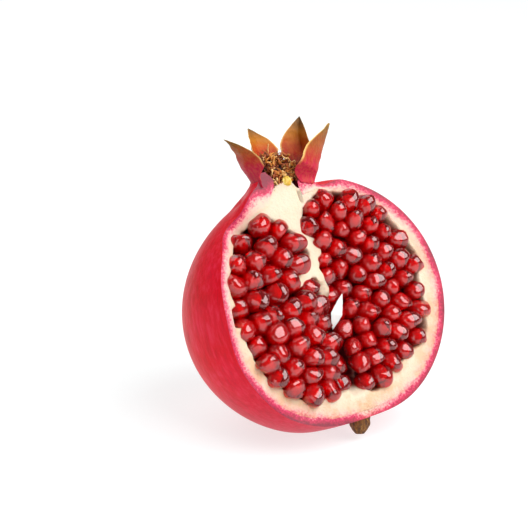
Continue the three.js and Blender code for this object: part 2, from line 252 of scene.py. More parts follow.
# Matt card scatters light evenly, so the eye gets a soft shadow and no mirror image.
fill_in(tree, shader, Base_Color="#98a0a0", Roughness=0.9, Emission_Color="#ffffff", Emission_Strength=0.71)
bm = bmesh.new()
bmesh.ops.create_grid(bm, x_segments=1, y_segments=1, size=3.0)
table = mesh_object(bm, "table", table_paper)

# %% [markdown]
# ## The shape of the whole fruit
# A pomegranate is a slightly squashed ball with six soft lobes, flattened at the stem and
# raised where the crown grows. One function gives that surface, or one a few millimetres
# inside it, in any direction; every other piece is measured from it.

# %% The fruit surface
HALF_SIZES = Vector((HALF_WIDTH, HALF_HEIGHT, HALF_DEPTH))
NECK_RISE, NECK_RISE_RADIUS = 2.6, 13.0
FOOT_X, FOOT_Z, FOOT_DIP, FOOT_RADIUS = 9.8, 9.5, 1.7, 5.2


def hump(off, radius):
    """A smooth hump, 1 in its middle, at a distance `off` from there."""
    return math.exp(-((off / radius) ** 2))


def fruit_point(direction, inset=0.0):
    """The point of the fruit's surface in a direction, moved `inset` mm inwards.

    Outside, the surface rises to the neck. Its inside sinks at the foot of the neck instead,
    where the skin dips, so that the skin keeps its thickness.
    """
    x, y, z = (direction[i] * (HALF_SIZES[i] - inset) for i in range(3))
    lobe = math.cos(LOBES * (math.atan2(direction[2], direction[0]) - LOBE_TURN))
    swell = 1 + LOBE_HEIGHT / HALF_WIDTH * (1 - direction[1] ** 2) * lobe
    x, z = x * swell, z * swell
    if direction[1] < 0:
        y += STEM_END_FLATTENING * hump(math.hypot(x, z), STEM_END_RADIUS)
    elif inset == 0:
        y += NECK_RISE * hump(math.hypot(x - CROWN_BASE.x, z - CROWN_BASE.z), NECK_RISE_RADIUS)
    else:
        y -= FOOT_DIP * hump(math.hypot(x - FOOT_X, z - FOOT_Z), FOOT_RADIUS)
    return above_table(Vector((x, y, z)), inset)


print("fruit is", 2 * HALF_WIDTH, "mm wide; its front is cut", SLICE, "mm before the middle")

# %% [markdown]
# ## The skin
# The skin of a pomegranate is a leathery shell. It starts from a ball with a row of points for
# every step of one long profile: from the stem up the outside, over the rim of the neck, down
# the cup and back along the inside. A flat cut then takes the front away, and the cut is
# filled. The cut shows the thickness of the skin, which a plain surface would not.

# %% The profile of the skin, row by row
CROWN_FRAME = CROWN_TURN.to_4x4()
CROWN_FRAME.translation = CROWN_BASE
NECK_FOOT, NECK_SIDE = 22.0, 11.0
# The neck's profile is given as (radius, height) points, up its outside and down the cup.
NECK_OUTSIDE = [
    (22, -2.8), (17.5, -0.9), (14.5, 0.1), (12.2, 0.9), (10.6, 2.2), (9.8, 4), (9.5, 6), (9.7, 8),
]
NECK_INSIDE = [(9.3, 8.5), (8.6, 8.5), (7.9, 8), (6.2, 4.8), (4.9, 2.4), (5.4, 0), (6.8, -2.4)]
OUTSIDE_SHARE, CUP_SHARE = 0.62, 0.64
CUP_OFFSET, CUP_FLOOR_RADIUS = -0.9, 7.4
RIM_LOW, RIM_HIGH = 3.0, 8.5
LEFT_OF_NECK, LEFT_FLARE, LEFT_DROP = -1.78, 1.4, 3.4
BODY_RADIUS = 45.0
FARTHEST = BODY_RADIUS * math.pi
OUTER_ROWS, NECK_ROWS, INNER_ROWS = 110, 44, 40
ROUND = 264

pole = Vector([CROWN_BASE[i] / HALF_SIZES[i] for i in range(3)]).normalized()
pole_front = (Vector((0, 0, 1)) - pole * pole.z).normalized()
POLE_TURN = Matrix((pole.cross(pole_front), pole, pole_front)).transposed()


def along(profile, t):
    """The point a share t along a polyline, by the number of its corners."""
    at = min(max(t, 0.0), 1.0) * (len(profile) - 1)
    first = min(int(at), len(profile) - 2)
    part = at - first
    a, b = profile[first], profile[first + 1]
    return tuple(a[i] + (b[i] - a[i]) * part for i in range(len(a)))


def on_body(radius, around, inset):
    """A point of the body at `radius` mm from the crown axis, measured over the surface."""
    angle = radius / BODY_RADIUS
    flat = Vector((math.sin(around), 0, math.cos(around))) * math.sin(angle)
    return fruit_point(POLE_TURN @ (flat + Vector((0, math.cos(angle), 0))), inset)


def on_crown(radius, height, around):
    """A point in the crown's own frame."""
    return CROWN_FRAME @ Vector((radius * math.sin(around), height, radius * math.cos(around)))


def round_the_cut(x, y, *bumps):
    """The sum of smooth bumps (height, place, width), in degrees round the cut."""
    degrees = math.degrees(math.atan2(y, x)) % 360
    return sum(height * hump(degrees - place, width) for height, place, width in bumps)


def cut_bend(x, y):
    """How far the cut lies in front of (or behind) its flat middle, in mm."""
    bend = round_the_cut(x, y, (2.7, 174, 18), (-5.2, 132, 10), (-1.6, 228, 14))
    return bend * smooth_step(22, 42, math.hypot(x, y))


SHOULDER_X, SHOULDER_Z, SHOULDER_DROP, SHOULDER_RADIUS = -15.3, 2.1, 4.4, 5.2


def shoulder_drop(point):
    """How far the left shoulder sinks beside the neck at a point, in mm."""
    off = math.hypot(point.x - SHOULDER_X, point.z - SHOULDER_Z)
    drop = SHOULDER_DROP * hump(off, SHOULDER_RADIUS)
    return drop * (1 - smooth_step(43.0, 47.0, point.y)) if point.y > 0 else 0.0


def settle(point):
    """The point, lowered where the left shoulder sinks."""
    return point - Vector((0, shoulder_drop(point), 0))


def inside_peel(point, inset):
    """The point, drawn towards the fruit's axis where it would pass the surface `inset` mm in."""
    x = point.x / (HALF_SIZES.x - inset)
    y = (point.y + shoulder_drop(point)) / (HALF_SIZES.y - inset)
    z = min(point.z, SLICE) / (HALF_SIZES.z - inset)
    allowed = math.sqrt(max(0.0, 1 - z * z)) / max(math.hypot(x, y), 1e-6)
    share = min(1.0, allowed)
    return Vector((point.x * share, point.y * share, point.z))


def left_share(around):
    """1 on the left of the neck, where its rim is low and flares, 0 on the other sides."""
    return max(0.0, math.cos(around - LEFT_OF_NECK)) ** 2


def neck_depth(radius):
    """How much deeper under the skin the peel lies near the crown's axis, in mm."""
    return 3.0 * (1 - smooth_step(10.0, 24.0, radius))


def skin_point(row, around):
    """The point of the skin in a row of the profile, and how deep under the skin it lies."""
    if row <= OUTER_ROWS:
        radius = FARTHEST + (NECK_FOOT - FARTHEST) * row / OUTER_ROWS
        return on_body(radius, around, 0.0), 0.0
    row -= OUTER_ROWS
    if row > NECK_ROWS:
        radius = CUP_FLOOR_RADIUS + (FARTHEST - CUP_FLOOR_RADIUS) * (row - NECK_ROWS) / INNER_ROWS
        return on_body(radius, around, SKIN), SKIN + neck_depth(radius)
    t = row / NECK_ROWS
    if t <= OUTSIDE_SHARE:
        radius, height = along(NECK_OUTSIDE, t / OUTSIDE_SHARE)
        share = 1 - smooth_step(NECK_SIDE, NECK_FOOT, radius)
        body = on_body(max(radius, 0.5), around, 0.0)
        flare = LEFT_FLARE * left_share(around) * smooth_step(0.0, RIM_LOW, height)
        height -= LEFT_DROP * left_share(around) * smooth_step(RIM_LOW, RIM_HIGH, height)
        return body.lerp(on_crown(radius + flare, height, around), share), 0.0
    t = (t - OUTSIDE_SHARE) / (1 - OUTSIDE_SHARE)
    radius, height = along(NECK_INSIDE, t)
    height -= LEFT_DROP * left_share(around) * smooth_step(RIM_LOW, RIM_HIGH, height)
    offset = CROWN_TURN @ Vector((CUP_OFFSET * smooth_step(0.1, 0.6, t), 0, 0))
    return on_crown(radius, height, around) + offset, 0.5 + 2.2 * smooth_step(0.5, 1.0, t)


# %% Cut the skin and fill the cut
def pigment_shift(x, y):
    """Makes the line of pigment thinner at the left and the stem, thicker at the bottom left."""
    return round_the_cut(x, y, (1.5, 271, 8), (1.3, 165, 42), (0.5, 55, 30), (-0.9, 243, 14))


def build_skin():
    bm = bmesh.new()
    rows = OUTER_ROWS + NECK_ROWS + INNER_ROWS
    new_ball(bm, ROUND, rows)
    depth = bm.verts.layers.float.new("depth")
    in_cup = set()
    for vert in bm.verts:
        row = rows - round(rows * (1 - down(vert.co.z)))
        around = math.atan2(vert.co.x, vert.co.y)
        point, vert[depth] = skin_point(row, around)
        if OUTER_ROWS + CUP_SHARE * NECK_ROWS < row <= OUTER_ROWS + NECK_ROWS:
            in_cup.add(vert)
        vert.co = settle(point)
        vert.co.z -= cut_bend(vert.co.x, vert.co.y)
    for face in bm.faces:
        if in_cup.issuperset(face.verts):
            face.material_index = 2
    geometry = [*bm.verts, *bm.edges, *bm.faces]
    cut = bmesh.ops.bisect_plane(
        bm, geom=geometry, dist=1e-5, plane_co=(0, 0, SLICE), plane_no=(0, 0, 1), clear_outer=True
    )
    edges = [e for e in cut["geom_cut"] if isinstance(e, bmesh.types.BMEdge)]
    filled = bmesh.ops.triangle_fill(bm, use_beauty=True, use_dissolve=False, edges=edges)
    faces = [f for f in filled["geom"] if isinstance(f, bmesh.types.BMFace)]
    for face in faces:
        face.material_index = 1
    for edge in edges:
        edge.smooth = False
    for vert in bm.verts:
        x, y, z = vert.co
        if z > SLICE - 0.01:
            vert[depth] += pigment_shift(x, y) - 2.6 * smooth_step(42.5, 46.5, y)
        vert.co.z += cut_bend(x, y)
    print("the cut through the skin has", len(edges), "edges and", len(faces), "faces")
    return bm


# %% [markdown]
# ## Skin material
# The skin of a ripe pomegranate is leathery and waxed by nature: crimson, with fine streaks
# that run from stem to crown and small paler freckles. Towards the stem, which lies at the
# bottom, it turns a duller, darker red: partly the stem end's own duller colour, partly painted
# shade. It shines softly, so the roughness is middling and the bump is as shallow as fine leather.

# %% Ripe skin
def mottled(tree, where, width, stops, detail=3, roughness=0.55):
    """Blotches about `width` mm wide, in the colours of the stops."""
    blotches = add(tree, "TexNoise", Vector=where, Scale=1 / width, Detail=detail, Roughness=roughness)
    return add(tree, "ValToRGB", i0=blotches, stops=stops)


ripe_skin, tree, shader = new_material("ripe_leathery_skin")
where = fruit_millimetres(tree)
red = mottled(tree, where, 21, [(0.34, "#d60418"), (0.5, "#ea0422"), (0.66, "#f21438")], 2, 0.5)
drawn_out = add(tree, "Mapping", Vector=where, Scale=(1, 0.22, 1))
streaked = mottled(tree, drawn_out, 1.9, [(0.34, "#c80618"), (0.5, "#ea0822"), (0.66, "#f63c5c")], 4, 0.65)
crimson = add(tree, "Mix", COLOURS, Factor=0.45, A=red, B=streaked)
freckled = mottled(tree, where, 0.9, [(0.62, "#000000"), (0.74, "#5a5a5a")], 2, 0.5)
lively = add(tree, "Mix", COLOURS, Factor=freckled, A=crimson, B="#e04a5a")
up_fruit = add(tree, "SeparateXYZ", Vector=where).outputs["Y"]
# Painted shade: towards the stem, at the bottom, the skin turns a duller, darker red, partly the stem end's
# own colour.
stem_dull_and_shade_share = add(tree, "MapRange", Value=up_fruit, From_Min=-8, From_Max=-42, To_Max=0.6)
dulled_and_shaded = add(tree, "Mix", COLOURS, Factor=stem_dull_and_shade_share, A=lively, B="#ae2e4c")
grain = add(tree, "TexNoise", Vector=where, Scale=1 / 1.3, Detail=4, Roughness=0.6)
dents = add(tree, "TexNoise", Vector=where, Scale=1 / 7, Detail=2, Roughness=0.5)
height = add(tree, "Math", TIMES_PLUS, i0=dents, i1=2.5, i2=grain)
leather = add(tree, "Bump", Strength=0.35, Distance=0.0003, Height=height)
fill_in(tree, shader, Base_Color=dulled_and_shaded, Roughness=0.38, Specular_IOR_Level=0.1, Normal=leather)
fill_in(tree, shader, Subsurface_Weight=0.06, Subsurface_Radius=(0.004, 0.0015, 0.001), Subsurface_Scale=1)

# %% [markdown]
# ## Cut material
# Where the knife went through, the colour tells the depth: a magenta line of pigment under the
# skin breaks up into pink mottling and then into cream pith. The mesh stores its depth under
# the skin at every point, and both the skin's cut and the pith read that one attribute, so the
# colour runs on from one piece to the other without a seam. Round the stem the cut is browned.

# %% Freshly cut peel
CUT_STOPS = [
    (0.0, "#7c0028"), (0.14, "#ac0238"), (0.25, "#cc1e54"), (0.34, "#e48088"),
    (0.5, "#e8baa8"), (0.74, "#dfc4a8"), (1.0, "#dfcdb4"),
]
CUT_STEM = (0.8, -40.5, SLICE)


def cut_colour(tree, where):
    """The colour of cut peel, from the depth attribute in mm and mottling."""
    depth = add(tree, "Attribute", {"attribute_name": "depth"})
    blotches = add(tree, "TexNoise", Vector=where, Scale=1 / 0.85, Detail=3, Roughness=0.7)
    wander = add(tree, "TexNoise", Vector=where, Scale=1 / 9, Detail=2, Roughness=0.5)
    spread = add(tree, "Math", TIMES_PLUS, i0=blotches, i1=-5.2, i2=depth)
    shift = add(tree, "Math", TIMES_PLUS, i0=wander, i1=-3.4, i2=spread)
    share = add(tree, "MapRange", Value=shift, From_Min=-4.6, From_Max=3.7)
    peel = add(tree, "ValToRGB", i0=share, stops=CUT_STOPS)
    stem_off = add(tree, "VectorMath", {"operation": "DISTANCE"}, i0=where, i1=CUT_STEM)
    near_stem = add(tree, "MapRange", Value=stem_off, From_Min=1, From_Max=7.5, To_Min=1, To_Max=0)
    blotched = add(tree, "ValToRGB", i0=blotches, stops=[(0.4, "#000000"), (0.62, "#d0d0d0")])
    browned = add(tree, "Math", TIMES, i0=near_stem, i1=blotched)
    return add(tree, "Mix", COLOURS, Factor=browned, A=peel, B="#9c4a20")


cut_peel, tree, shader = new_material("freshly_cut_peel")
where = fruit_millimetres(tree)
fibres = add(tree, "TexNoise", Vector=where, Scale=1 / 0.8, Detail=3, Roughness=0.6)
bump = add(tree, "Bump", Strength=0.5, Distance=0.0002, Height=fibres)
fill_in(tree, shader, Base_Color=cut_colour(tree, where), Roughness=0.5, Normal=bump)
fill_in(tree, shader, Subsurface_Weight=0.25, Subsurface_Radius=(0.003, 0.0015, 0.001), Subsurface_Scale=1)

# %% Inside of the cup
cup_lining_shaded, tree, shader = new_material("cup_lining_painted_shade")
# The inside of the cup is painted a dull, blotchy, very dark maroon with no shine: painted shade of the
# deep cup.
where = fruit_millimetres(tree)
maroon = mottled(tree, where, 1.4, [(0.35, "#38040e"), (0.6, "#6a0a1c"), (0.75, "#8c2020")])
fill_in(tree, shader, Base_Color=maroon, Roughness=0.7, Specular_IOR_Level=0.2)

# %% The finished skin
lay_down(build_skin(), "skin", "rind", "rind", ripe_skin, cut_peel, cup_lining_shaded)

# %% [markdown]
# ## Where the arils sit
# The seeds of a pomegranate, each in its juicy red aril, grow packed in chambers between thin
# walls. Packing looks natural when it is grown, not placed: each chamber starts with random
# places, which then push each other apart until they fill the chamber's outline evenly.

# %% The three chambers in millimetres on the cut
CHAMBERS = {
    "arils_upper_left": {
        "outline": [
            (-17, 35), (-9.5, 30), (-4.0, 22.5), (-2.8, 17), (-8.0, 12.0), (-13.4, 7.6), (-17, 5.0),
            (-28, 4.5), (-38.6, 4.8), (-40, 13), (-36.2, 20.5), (-31, 27), (-25, 32.2),
        ],
        "count": 16, "spacing": 8.1, "size": 4.3, "seed": 7,
    },
    "arils_lower_left": {
        "outline": [
            (-39.8, 1.6), (-28, 4.4), (-19, 5.0), (-13.2, 5.8), (-9.6, 8.0), (-6.8, 10.6),
            (-4.2, 10.8), (-2.4, 7.6), (-2.0, -2), (-2.2, -9), (-1.0, -17), (0.4, -25),
            (-1.8, -30), (-12, -31.4), (-20, -31), (-28, -25.4), (-34.5, -18), (-38.6, -8),
        ],
        "count": 28, "spacing": 8.4, "size": 4.5, "seed": 23,
    },
    "arils_right": {
        "outline": [
            (-2.6, 32), (3, 36.8), (10, 38.2), (20, 34.6), (29, 29.4), (34.6, 21), (38.6, 12),
            (40.8, 6), (37.8, -1), (37.4, -9), (35.6, -15), (34, -21), (26, -25.4), (15, -29.8),
            (8, -34.2), (2.6, -33.6), (0.6, -27), (0.6, -19), (-0.8, -9), (-1.0, 2), (-1.4, 8),
            (-2.4, 13), (-0.2, 17), (0, 20.6), (-3.6, 25.6),
        ],
        "count": 56, "spacing": 7.1, "size": 3.75, "seed": 41,
    },
}
OUTLINE_STEPS, FINE_STEPS = 48, 200
PUSHES, PUSH_SHARE, EDGE_ROOM = 160, 0.3, 0.74


# %% A smooth outline through a few points
def curve_corner(points, at):
    """A point of the closed centripetal Catmull-Rom curve; `at` counts its corners."""
    first, w = int(at), at - int(at)
    p0, p1, p2, p3 = (points[(first + i) % len(points)] for i in (-1, 0, 1, 2))
    d0, d1, d2 = (math.sqrt((b - a).length) for a, b in ((p0, p1), (p1, p2), (p2, p3)))
    t1 = ((p1 - p0) / d0 - (p2 - p0) / (d0 + d1) + (p2 - p1) / d1) * d1
    t2 = ((p2 - p1) / d1 - (p3 - p1) / (d1 + d2) + (p3 - p2) / d2) * d1
    return p1 + t1 * w + (3 * (p2 - p1) - 2 * t1 - t2) * w**2 + (2 * (p1 - p2) + t1 + t2) * w**3


def even_outline(corners, steps=OUTLINE_STEPS):
    """Points spaced evenly along the smooth closed curve through the corners."""
    points = [Vector(c) for c in corners]
    fine = [curve_corner(points, i * len(points) / FINE_STEPS) for i in range(FINE_STEPS)] + [points[0]]
    lengths = [0.0]
    for a, b in zip(fine, fine[1:]):
        lengths.append(lengths[-1] + (b - a).length)
    even = []
    for step in range(steps):
        target = step / steps * lengths[-1]
        i = max(j for j in range(FINE_STEPS) if lengths[j] <= target)
        part = (target - lengths[i]) / (lengths[i + 1] - lengths[i])
        even.append(curve_corner(points, (i + part) * len(points) / FINE_STEPS))
    return even


# %% Random places, pushed apart
def make_draw(seed):
    """Random numbers from 0 to 1 that are the same in every run."""
    state = [seed]

    def draw():
        state[0] = (state[0] * 16807) % 2147483647
        return state[0] / 2147483647

    return draw


def spread_out(places, spacing):
    """One round of pushing: each pair closer than the spacing moves a little apart."""
    for i, a in enumerate(places):
        for b in places[i + 1 :]:
            apart = a - b
            lack = spacing - apart.length
            if lack > 0:
                apart.length = PUSH_SHARE * lack
                a += apart
                b -= apart


def keep_inside(place, edge, margin):
    """Moves a place back to `margin` inside the outline."""
    nearest, inwards = math.inf, None
    for start, end in zip(edge, edge[1:] + edge[:1]):
        side = end - start
        share = (place - start).dot(side) / side.length_squared
        foot = start + side * min(max(share, 0.0), 1.0)
        off = (foot - place).length
        if off < abs(nearest):
            square = Vector((side.y, -side.x)).normalized()
            nearest = math.copysign(off, (place - foot).dot(square))
            inwards = square
    if nearest < margin:
        place += inwards * (margin - nearest)


def aril_places(chamber):
    """The places of a chamber's arils on the cut, and the chamber's middle."""
    draw = make_draw(chamber["seed"])
    edge = even_outline(chamber["outline"])
    middle = sum(edge, Vector((0, 0))) / len(edge)
    places = []
    for _ in range(chamber["count"]):
        corner = edge[int(draw() * len(edge))]
        places.append(middle.lerp(corner, 0.85 * math.sqrt(draw())))
    for _ in range(PUSHES):
        spread_out(places, chamber["spacing"])
        for place in places:
            keep_inside(place, edge, chamber["size"] * EDGE_ROOM)
    return places, middle


for name, chamber in CHAMBERS.items():
    chamber["places"], chamber["middle"] = aril_places(chamber)
    print(name, "holds", len(chamber["places"]), "arils")

# %% [markdown]
# ## The shape of an aril
# An aril is a drop with its narrow end at the chamber's wall. Where it met its neighbours it
# grew flat, so it is a little like a cut gem. Each one starts as a ball, is drawn out to a
# drop, and then pressed flat against the planes halfway to its neighbours.

# %% How high the clusters stand
def swell(x, y):
    """How far the arils' tops stand out of the cut, in mm."""

    def bump(cx, cy, rx, ry):
        return math.exp(-(((x - cx) / rx) ** 2) - ((y - cy) / ry) ** 2)

    valley = 6.5 / (1 + math.exp((y - 6) / 1.5)) * bump(-1.4, y, 4.2, 1)
    mounds = 4.2 * bump(-19, -13, 17, 15) + 2.4 * bump(-22, 20, 13, 12)
    mounds += 2.0 * bump(14, 27, 16, 10) + 1.2 * bump(20, -14, 14, 12)
    return 0.8 + mounds - 3.4 * bump(6, 3, 9, 9) - valley + min(0.0, cut_bend(x, y))


FULLNESS, LENGTH = 1.13, 1.4
FAN_OUT, WITH_SLOPE, AT_RANDOM = 0.016, 0.7, 0.8


def plan_arils(chamber):
    """Centre, axis, radius and turn of each aril of a chamber."""
    draw = make_draw(chamber["seed"] + 100)
    plans = []
    for place in chamber["places"]:
        slope_x = swell(place.x + 0.5, place.y) - swell(place.x - 0.5, place.y)
        slope_y = swell(place.x, place.y + 0.5) - swell(place.x, place.y - 0.5)
        fan = (chamber["middle"] - place) * -FAN_OUT
        lean_x = fan.x - WITH_SLOPE * slope_x + AT_RANDOM * (draw() - 0.5)
        lean_y = fan.y - WITH_SLOPE * slope_y + AT_RANDOM * (draw() - 0.5)
        axis = Vector((lean_x, lean_y, 1)).normalized()
        radius = chamber["size"] * (0.9 + 0.2 * draw()) * FULLNESS
        turn = 2 * math.pi * draw()
        top = SLICE + swell(place.x, place.y) + 1.2 * (draw() - 0.5) + 0.9
        sink = radius * LENGTH * 0.96
        centre = Vector((place.x - 0.4 * axis.x * sink, place.y - 0.4 * axis.y * sink, top - sink * axis.z))
        plans.append({"centre": centre, "axis": axis, "radius": radius, "turn": turn})
    return plans


# %% Press a ball into an aril
def pressed(point, direction, limit, softness):
    """The point, kept from passing a plane at `limit` along a direction, with a soft edge."""
    reach = point.dot(direction)
    start = limit - softness
    if reach <= start:
        return point
    allowed = limit - softness * math.exp((start - reach) / softness)
    return point + direction * (allowed - reach)


def on_ball(z, around):
    """The place on a ball of radius 1 at a height and an angle round it."""
    flat = math.sqrt(max(0.0, 1 - z * z))
    return flat * math.cos(around), flat * math.sin(around), z


def turn_to(direction):
    """The turn that brings the z axis to a direction."""
    return direction.to_track_quat("Z", "Y").to_matrix()


FACETS, FACET_LIMITS, STRETCHES = 8, (0.76, 0.92), (1.3, 1.55)


def add_aril(bm, plan, neighbours, rng):
    """One aril, pressed by its neighbours and by softer facets that seldom face far down."""
    radius = plan["radius"]
    turn = turn_to(plan["axis"]) @ Matrix.Rotation(plan["turn"], 3, "Z")
    facets = []
    for _ in range(FACETS):
        direction = Vector(on_ball(rng.uniform(-0.5, 1.0), rng.uniform(0, 2 * math.pi)))
        facets.append((direction, rng.uniform(*FACET_LIMITS)))
    stretch = rng.uniform(*STRETCHES)
    planes = []
    for other in neighbours:
        gap = other["centre"] - plan["centre"]
        share = radius / (radius + other["radius"])
        planes.append((gap.normalized(), max(gap.length * share - 0.08, radius * 0.62)))
    for vert in bmesh.ops.create_icosphere(bm, subdivisions=3, radius=1)["verts"]:
        point = vert.co.copy()
        for direction, limit in facets:
            point = pressed(point, direction, limit, 0.06)
        girth = 1.04 + 0.42 * min(point.z, 0.0)
        point = turn @ (Vector((point.x * girth, point.y * girth * 0.93, point.z * stretch)) * radius)
        for direction, limit in planes:
            point = pressed(point, direction, limit, 0.45)
        vert.co = inside_peel(plan["centre"] + point, SKIN + 0.5)


for name, chamber in CHAMBERS.items():
    chamber["plans"] = plan_arils(chamber)
    print(name, "has arils of", round(2 * chamber["size"] * FULLNESS, 1), "mm")

# %% [markdown]
# ## The pith
# The pale pith lines the skin and makes the walls between the chambers. A wet knife leaves it
# nearly flat, so its front is a disc of fine rings whose points are lowered where the chambers
# are. The distance to a chamber's outline shapes a rounded lip, a steep wall and a floor.

# %% How far points lie inside an outline
def inside_distance(xy, outline):
    """For each of many points, how far inside a closed outline it lies (outside is negative)."""
    edge = np.array([tuple(p) for p in outline])
    ahead = np.roll(edge, -1, axis=0)
    nearest = np.full(len(xy), np.inf)
    inside = np.zeros(len(xy), dtype=bool)
    for start, end in zip(edge, ahead):
        side = end - start
        share = np.clip(((xy - start) @ side) / (side @ side), 0, 1)
        off = np.hypot(*(xy - start - share[:, None] * side).T)
        nearest = np.minimum(nearest, off)
        crosses = (start[1] > xy[:, 1]) != (end[1] > xy[:, 1])
        if start[1] != end[1]:
            at = start[0] + (xy[:, 1] - start[1]) / (end[1] - start[1]) * side[0]
            inside ^= crosses & (xy[:, 0] < at)
    return np.where(inside, nearest, -nearest)


def smooth_steps(low, high, values):
    """smooth_step for an array of values."""
    t = np.clip((values - low) / (high - low), 0, 1)
    return t * t * (3 - 2 * t)


# %% The relief of the pith
def rough(x, y, size, seed):
    """Smooth noise from -1 to 1 with bumps about `size` mm wide."""
    return noise.noise(Vector((x / size, y / size, seed)))


CHAMBER_DEPTH, LIP_START, WALL_END, CRACK_DEPTH = 11.0, 0.7, 3.6, 5.0
LOW_WALLS = [(-0.8, -14, 4.6, 30.0, 10.0), (-25, 4.4, 30.0, 6.0, 10.5)]


def low_wall(xy, x, y, width, length, depth):
    """A place where a wall between chambers is lower than the cut."""
    across = 1 - smooth_steps(width * 0.3, width * 0.9, np.abs(xy[:, 0] - x))
    along_wall = 1 - smooth_steps(length * 0.35, length * 0.65, np.abs(xy[:, 1] - y))
    return depth * across * along_wall


def pith_relief(xy):
    """How far the pith lies under the cut, and how far inside a chamber, in mm."""
    inside = np.full(len(xy), -np.inf)
    for chamber in CHAMBERS.values():
        inside = np.maximum(inside, inside_distance(xy, even_outline(chamber["outline"], 72)))
    ragged = np.array([0.5 * rough(x, y, 3.1, 1) + 0.25 * rough(x, y, 1.2, 2) for x, y in xy])
    inside = inside + ragged
    drop = CHAMBER_DEPTH * smooth_steps(LIP_START, WALL_END, inside)
    for low in LOW_WALLS:
        drop = np.maximum(drop, low_wall(xy, *low))
    crack = (1 - smooth_steps(0.1, 0.5, np.abs(xy[:, 0] + 0.5))) * smooth_steps(35.0, 36.5, xy[:, 1])
    drop = np.maximum(drop, CRACK_DEPTH * crack)
    waves = [0.35 * rough(x, y, 8, 3) + 0.14 * rough(x, y, 2.6, 4) for x, y in xy]
    return drop + 0.3 + np.array(waves), inside


# %% Build the pith
PITH_ROUND, FRONT_ROWS, BACK_ROWS = 372, 84, 26
PITH_RIM, PITH_BACK, BEHIND_CUT = SKIN - 0.12, SKIN - 0.1, 0.05
WEDGE_RISE = 3.6
FLAP_BOTTOM, FLAP_TOP = Vector((-3.1, -9.0, SLICE - 1.4)), Vector((3.1, 1.9, SLICE + 1.4))
FLAP_ACROSS, FLAP_HALF_WIDTH, FLAP_LEAN = Vector((-0.93, 0.37, 0.25)), 2.6, 1.6


def cut_outline(around, level):
    """The point where the pith's rim meets the cut at a level."""
    z = level / (HALF_SIZES.z - PITH_RIM)
    for _ in range(3):
        point = fruit_point(on_ball(z, around), PITH_RIM)
        z *= level / point.z
    return point


def wedge_rise(around):
    """How far the wedge of pith under the crown rises over the rim, in mm."""
    degrees = math.degrees(around)
    rise = WEDGE_RISE * (1 - smooth_step(100.0, 112.0, degrees))
    return rise * smooth_step(91.0, 94.0, degrees)


def add_flap(bm):
    """A torn bit of the thin white skin between two chambers, standing among the arils."""
    ball = new_ball(bm, 24, 30)
    for vert in ball:
        share = down(-vert.co.z)
        width = min(share / 0.38, (1 - share) / 0.62) ** 0.8
        width *= 1 + 0.25 * rough(share * 6, 0.0, 1, 12.0)
        around = around_z(vert.co)
        centre = FLAP_BOTTOM.lerp(FLAP_TOP, share) + FLAP_ACROSS * FLAP_LEAN * width
        centre.z += FLAP_LEAN * width
        across = FLAP_ACROSS * math.cos(around) * FLAP_HALF_WIDTH * width
        curl = Vector((0, 0, 0.8 * math.cos(around) ** 2 * width + 0.2 * math.sin(around)))
        vert.co = centre + across + curl
    return ball


def build_pith():
    bm = bmesh.new()
    rows = FRONT_ROWS + BACK_ROWS
    new_ball(bm, PITH_ROUND, rows)
    depth = bm.verts.layers.float.new("depth")
    juice_and_shade = bm.verts.layers.float.new("juice_and_shade")
    front = []
    for vert in bm.verts:
        row = round(rows * down(vert.co.z))
        around = around_z(vert.co)
        rim = cut_outline(around, SLICE)
        rim = cut_outline(around, SLICE + cut_bend(rim.x, rim.y) - BEHIND_CUT)
        if row <= FRONT_ROWS:
            length = math.hypot(rim.x, rim.y)
            rim *= (length + wedge_rise(around)) / length
            vert.co = Vector((rim.x, rim.y, SLICE)) * (row / FRONT_ROWS)
            edge_gap = Vector((rim.x, rim.y)).length * (1 - row / FRONT_ROWS)
            front.append((vert, edge_gap))
        else:
            start = rim.z / (HALF_SIZES.z - SKIN)
            z = start + (-1 - start) * (row - FRONT_ROWS) / BACK_ROWS
            vert.co = settle(fruit_point(on_ball(z, around), PITH_BACK))
            vert[depth] = SKIN
    relief, inside = pith_relief(np.array([(v.co.x, v.co.y) for v, _ in front]))
    for (vert, edge_gap), drop, within in zip(front, relief, inside):
        x, y, _ = vert.co
        drop *= smooth_step(0.0, 3.0, edge_gap)
        vert.co.z = SLICE + cut_bend(x, y) - BEHIND_CUT - drop
        from_crown = math.hypot(x - CROWN_BASE.x, y - CROWN_BASE.y)
        vert[depth] = SKIN + edge_gap + pigment_shift(x, y) + neck_depth(from_crown)
        # Juice stain and painted shade: dark red inside the chambers' outlines and where the pith lies
        # deeper.
        vert[juice_and_shade] = max(smooth_step(0.4, 2.4, within), smooth_step(2.0, 6.0, drop))
    for vert in add_flap(bm):
        for face in vert.link_faces:
            face.material_index = 1
    return bm


# %% [markdown]
# ## Pith material
# Fresh pith is matt, moist and a little translucent, like bread dough. It is cream, pinker
# near the skin and yellower in its lower part. Down in the chambers it turns dark red, partly
# stained by juice and partly painted shade, which darkens it more where it lies deeper.

# %% Moist pith
moist_pith, tree, shader = new_material("moist_pith")
where = fruit_millimetres(tree)
patchy = mottled(tree, where, 6, [(0.44, "#000000"), (0.6, "#b8b8b8")], roughness=0.6)
up_fruit = add(tree, "SeparateXYZ", Vector=where).outputs["Y"]
low_share = add(tree, "MapRange", Value=up_fruit, From_Min=-2, From_Max=18, To_Min=1, To_Max=0.2)
tinted = add(tree, "Math", TIMES, i0=patchy, i1=low_share)
yellowed = add(tree, "Mix", COLOURS, Factor=tinted, A=cut_colour(tree, where), B="#d6a06e")
